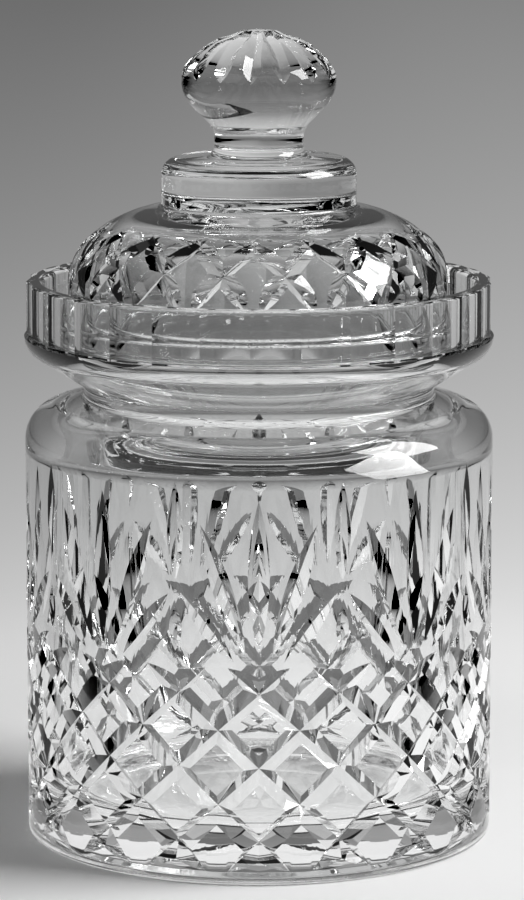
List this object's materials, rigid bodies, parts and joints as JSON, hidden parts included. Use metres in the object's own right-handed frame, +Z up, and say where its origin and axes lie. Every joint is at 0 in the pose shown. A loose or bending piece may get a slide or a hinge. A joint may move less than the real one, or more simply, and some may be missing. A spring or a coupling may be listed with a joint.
{
  "type": "biscuit jar",
  "caption": "Cylindrical cut-crystal jar with a flared panelled collar and a loose domed lid topped by a fluted knob, for keeping biscuits.",
  "frame": {"origin": "centre of the foot, on the surface that the jar stands on", "axes": "+Z up along the jar's axis, -Y towards the front; the jar is round, so X and Y only place the cut pattern"},
  "size_m": [0.125, 0.125, 0.2156],
  "materials": {
    "crystal": "polished clear lead crystal, wheel-cut"
  },
  "bodies": {
    "jar": {"jar": "crystal"},
    "lid": {"lid": "crystal"}
  },
  "joints": [
    {"name": "lid_lift", "type": "slide", "parent": "jar", "child": "lid", "axis": [0, 0, 1], "range_m": [0, 0.09]}
  ]
}
